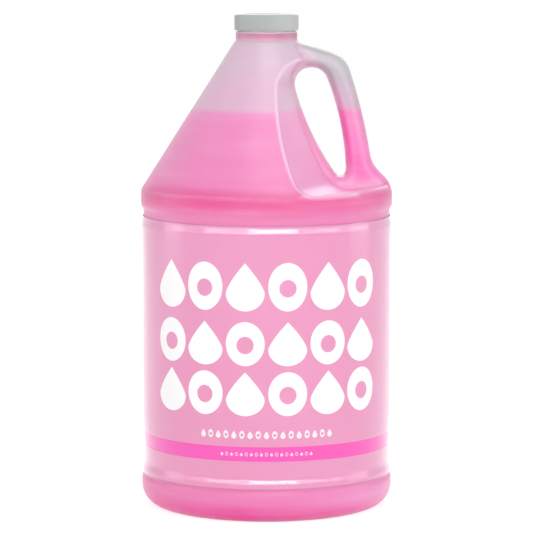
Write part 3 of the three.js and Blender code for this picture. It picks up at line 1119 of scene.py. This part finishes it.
# %% Half widths of a drop and a disc
DROP_WIDEST = 0.25
DROP_TAPER = 1.35
print("a drop is widest", DROP_WIDEST, "of its half height below its middle")


def round_half(finish, up):
    rest = finish.math("SUBTRACT", 1.0, finish.times(up, up))
    return finish.math("SQRT", finish.math("MAXIMUM", 0.0, rest))


def drop_half(finish, up):
    from_widest = finish.math("ADD", up, DROP_WIDEST)
    rise = finish.math("DIVIDE", finish.math("MAXIMUM", 0.0, from_widest), 1 + DROP_WIDEST)
    taper = finish.math("SUBTRACT", 1.0, finish.math("POWER", rise, DROP_TAPER))
    bowl = round_half(finish, finish.math("DIVIDE", from_widest, 1 - DROP_WIDEST))
    return finish.choose(finish.math("GREATER_THAN", up, -DROP_WIDEST), bowl, taper)


# %% A row of drops and bubbles
PRINT_BLUR = 0.35
BUBBLE_HOLE = 0.42
HOLE_LOWERED = 0.06

Row = namedtuple("Row", "centre tall count span fill shift white")
ROWS = (
    Row(143, 29, 6, 154, 0.465, 0, 1),
    Row(109, 26.5, 6, 154, 0.465, 1, 1),
    Row(79, 26.5, 6, 154, 0.465, 0, 1),
    Row(54.5, 5, 17, 84, 0.36, 0, 0.85),
    Row(42.7, 2.4, 19, 58, 0.36, 0, 0.7),
)


def printed_row(finish, around, height, row):
    cell = row.span / row.count
    place = finish.math("DIVIDE", finish.math("ADD", around, row.span / 2), cell)
    from_middle = finish.math("SUBTRACT", finish.math("FRACT", place), 0.5)
    across = finish.math("ABSOLUTE", finish.times(from_middle, cell))
    up = finish.math("DIVIDE", finish.math("SUBTRACT", height, row.centre), row.tall / 2)
    turn = finish.math("ADD", finish.math("FLOOR", place), row.shift)
    is_bubble = finish.math("ABSOLUTE", finish.math("MODULO", turn, 2.0))
    size = min(cell * row.fill, row.tall / 2)
    half = finish.choose(is_bubble, drop_half(finish, up), round_half(finish, up))
    to_edge = finish.math("SUBTRACT", finish.times(half, size), across)
    filled = finish.ranged(to_edge, 0.0, PRINT_BLUR, 0.0, 1.0)
    above_hole = finish.times(finish.math("ADD", up, HOLE_LOWERED), row.tall / 2)
    from_hole = finish.math("SUBTRACT", finish.length(across, above_hole), size * BUBBLE_HOLE)
    past_hole = finish.ranged(from_hole, 0.0, PRINT_BLUR, 0.0, 1.0)
    opened = finish.math("MAXIMUM", past_hole, finish.math("SUBTRACT", 1.0, is_bubble))
    within = finish.math("LESS_THAN", finish.math("ABSOLUTE", around), row.span / 2)
    return finish.times(filled, opened, within, row.white)


print("printed shapes:", sum(row.count for row in ROWS))

# %% Finish of the label
STRIPE = (38.1, 47.3)
STRIPE_BLUR = 0.3
EDGE_LINE = 0.8
LAP_FROM_BACK = 4
LAP_LINE = (0.15, 0.5)


def dark_edges(finish, around, height):
    lower = finish.ranged(height, label_bottom, label_bottom + EDGE_LINE, 1.0, 0.0)
    upper = finish.ranged(height, label_top - EDGE_LINE, label_top, 0.0, 1.0)
    lap_place = math.pi * label_radius - LAP_FROM_BACK
    from_lap = finish.math("ABSOLUTE", finish.math("SUBTRACT", around, lap_place))
    lap = finish.ranged(from_lap, *LAP_LINE, 0.7, 0.0)
    return finish.math("MAXIMUM", finish.math("MAXIMUM", lower, upper), lap)


def label_finish():
    finish = Finish("printed_film")
    x, y, z = finish.split(finish.place)
    angle = finish.math("ARCTAN2", x, finish.times(y, -1.0))
    around = finish.times(angle, label_radius)
    height = finish.times(z, 1 / MM)
    colour = finish.mix(finish.cloudy(12, 0.0, 1.0), shade(233, 145, 187), shade(235, 153, 194))
    stripe_low = finish.ranged(height, STRIPE[0], STRIPE[0] + STRIPE_BLUR, 0.0, 1.0)
    stripe_high = finish.ranged(height, STRIPE[1] - STRIPE_BLUR, STRIPE[1], 1.0, 0.0)
    colour = finish.mix(finish.times(stripe_low, stripe_high), colour, shade(248, 76, 186))
    white = 0.0
    for row in ROWS:
        white = finish.math("MAXIMUM", printed_row(finish, around, height, row), white)
    colour = finish.mix(white, colour, shade(254, 252, 253))
    edge = finish.times(dark_edges(finish, around, height), 0.85)
    colour = finish.mix(edge, colour, shade(196, 116, 160))
    finish.give("Base Color", colour)
    finish.give("Roughness", finish.cloudy(35, 0.2, 0.26))
    finish.give("Specular IOR Level", 0.2)
    finish.give("Coat Weight", 1.0)
    finish.give("Coat Roughness", 0.125)
    finish.bump(finish.noise(14, 1, 0.5, (1, 1, 0.6)), 0.0003, 0.2)
    return finish


label_finish().put_on(label)

# %% [markdown]
# ## Cap, soap and liner
#
# The cap is a satin grey with the faint cloud that recycled or filled plastic shows, and its right side is
# painted lighter as light from that side. The soap keeps its imported shape, because it is only seen through
# the wall, and so does the foam liner: both get a finish of their own.

# %% Finish of the cap, the soap and the liner
LIT_SIDE_REACH = 18 * MM


def cap_finish():
    finish = Finish("grey_moulding")
    across = finish.split(finish.place)["X"]
    colour = finish.mix(finish.cloudy(45, 0.0, 1.0), shade(164, 171, 168), shade(175, 181, 178))
    # painted light: the cap is painted lighter towards its right side
    side = finish.ranged(across, 0.0, LIT_SIDE_REACH, 0.0, 0.8)
    colour = finish.mix(side, colour, shade(192, 195, 194))
    finish.give("Base Color", colour)
    finish.give("Roughness", finish.cloudy(90, 0.36, 0.48))
    finish.bump(finish.noise(700, 2), 0.00006, 0.6)
    return finish


def soap_finish():
    finish = Finish("pink_soap")
    colour = finish.mix(finish.cloudy(14, 0.0, 1.0), shade(238, 104, 172), shade(243, 122, 184))
    finish.give("Base Color", colour)
    finish.give("Roughness", finish.cloudy(30, 0.08, 0.14))
    finish.bump(finish.noise(20, 2), 0.0002, 0.3)
    return finish


def liner_finish():
    finish = Finish("liner_foam")
    cells = finish.noise(1600, 3)
    foam = finish.mix(cells, shade(240, 238, 230), shade(250, 249, 244))
    finish.give("Base Color", foam)
    finish.give("Roughness", finish.ranged(cells, 0.3, 0.7, 0.7, 0.85))
    finish.bump(cells, 0.0001, 0.6)
    return finish


cap_finish().put_on(cap)
soap_finish().put_on(frame["nodes"]["liquid_soap"])
liner_finish().put_on(frame["nodes"]["cap_liner"])

# %% [markdown]
# ## Riding on the imported bodies
#
# Each new piece stands for one imported node and rides on that node's body, so the cap rises and turns with
# its joint. The imported soap and liner already ride on theirs.

# %% Bodies and replaced nodes
for piece, node, body_name, slot in (
    (jug, "jug", "jug", "jug_plastic"),
    (label, "wrap_label", "jug", "label_film"),
    (cap, "screw_cap", "cap", "cap_plastic"),
):
    put_down()
    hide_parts(node)
    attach(piece, body_name)
    print(piece.name, "replaces", node, "and rides on", body_name)

# %% [markdown]
# ## Floor, light and camera
#
# The jug stands in plain soft studio light. The world fills evenly. An arc of five low strips goes round
# the front: the label mirrors them as its bright crescents, and the ridge of the pocket catches the middle
# one. A soft box above models the shoulder, and one on each side and one behind light the other sides.
#
# The floor and the world are white where the camera, a reflection or clear plastic sees them, and dimmer as
# a source of light, so the background is white, the colours keep their depth and the floor keeps the jug's
# shadow.

# %% Rays that see the background
def background_rays(tree):
    path = tree.nodes.new("ShaderNodeLightPath")
    seen = path.outputs["Is Camera Ray"]
    for kind in ("Is Glossy Ray", "Is Transmission Ray"):
        either = tree.nodes.new("ShaderNodeMath")
        either.operation = "MAXIMUM"
        tree.links.new(seen, either.inputs[0])
        tree.links.new(path.outputs[kind], either.inputs[1])
        seen = either.outputs[0]
    return seen


# %% Floor
FLOOR_SIZE = 12
FLOOR_WHITE = 0.94
FLOOR_GLOW = 0.7

put_down()
bpy.ops.mesh.primitive_plane_add(size=FLOOR_SIZE)
floor = bpy.context.object
floor.name = "floor"
floor_finish = Finish("white_floor")
floor_finish.give("Base Color", (FLOOR_WHITE, FLOOR_WHITE, FLOOR_WHITE, 1))
floor_finish.give("Roughness", 0.9)
floor_finish.give("Specular IOR Level", 0.0)
floor_finish.give("Emission Color", (1, 1, 1, 1))
glow = floor_finish.times(background_rays(floor_finish.tree), FLOOR_GLOW)
floor_finish.give("Emission Strength", glow)
floor_finish.put_on(floor)
print("floor", FLOOR_SIZE, "m across")

# %% World
WORLD_FILL = 0.35


def white_world():
    world = bpy.data.worlds.new("studio")
    bpy.context.scene.world = world
    world.use_nodes = True
    tree = world.node_tree
    background = tree.nodes["Background"]
    strength = tree.nodes.new("ShaderNodeMapRange")
    strength.inputs["To Min"].default_value = WORLD_FILL
    strength.inputs["To Max"].default_value = 1.0
    tree.links.new(background_rays(tree), strength.inputs["Value"])
    tree.links.new(strength.outputs[0], background.inputs["Strength"])
    background.inputs["Color"].default_value = (1, 1, 1, 1)


white_world()
print("world fills at", WORLD_FILL)

# %% Lamps
STRIP_DISTANCE = 1.7
STRIP_SIZE = (1.35, 0.075)
STRIP_TARGET = (0, 0, 0.12)
BOX_TARGET = (0, 0, 0.15)

Strip = namedtuple("Strip", "azimuth height power")
STRIPS = (
    Strip(6, 0.56, 8.2),
    Strip(-36, 0.5, 3.3),
    Strip(48, 0.5, 2.6),
    Strip(-74, 0.4, 1),
    Strip(84, 0.4, 1),
)


def soft_box(name, place, target, size, power):
    put_down()
    bpy.ops.object.light_add(type="AREA", location=place)
    lamp = bpy.context.object
    lamp.name = name
    lamp.data.shape = "RECTANGLE"
    lamp.data.size, lamp.data.size_y = size
    lamp.data.energy = power
    lamp.visible_camera = False
    lamp.rotation_euler = (Vector(target) - Vector(place)).to_track_quat("-Z", "Y").to_euler()


for strip in STRIPS:
    turn = math.radians(strip.azimuth)
    place = (STRIP_DISTANCE * math.sin(turn), -STRIP_DISTANCE * math.cos(turn), strip.height)
    soft_box("strip_" + str(strip.azimuth), place, STRIP_TARGET, STRIP_SIZE, strip.power)
soft_box("top_box", (0.1, -0.5, 1.5), (0, 0, 0.2), (0.9, 0.9), 6)
soft_box("left_box", (-1.6, 0.1, 0.45), BOX_TARGET, (0.7, 0.9), 2.6)
soft_box("right_box", (1.6, 0.1, 0.45), BOX_TARGET, (0.7, 0.9), 2.6)
soft_box("back_box", (0, 1.7, 0.9), BOX_TARGET, (1.2, 0.5), 5)

# %% [markdown]
# The camera stands about two metres away and a little above the jug, which is why the label's edges sag in
# the middle as shallow curves. The lens follows from how large the jug is in the frame.

# %% Camera
CAMERA_DISTANCE = 1.92
CAMERA_HEIGHT = 0.355
CAMERA_PITCH = 6.177
FOCAL_PIXELS = 3133.6
FRAME_PIXELS = 533
SENSOR = 36

put_down()
bpy.ops.object.camera_add(
    location=(0, -CAMERA_DISTANCE, CAMERA_HEIGHT), rotation=(math.radians(90 - CAMERA_PITCH), 0, 0)
)
camera = bpy.context.object
camera.data.sensor_width = SENSOR
camera.data.lens = FOCAL_PIXELS / FRAME_PIXELS * SENSOR
bpy.context.scene.camera = camera
bpy.context.scene.view_settings.view_transform = "Standard"
print("lens", round(camera.data.lens, 1), "mm")

# %% [markdown]
# Last, the selection is cleared.

# %% Clear the selection
put_down()
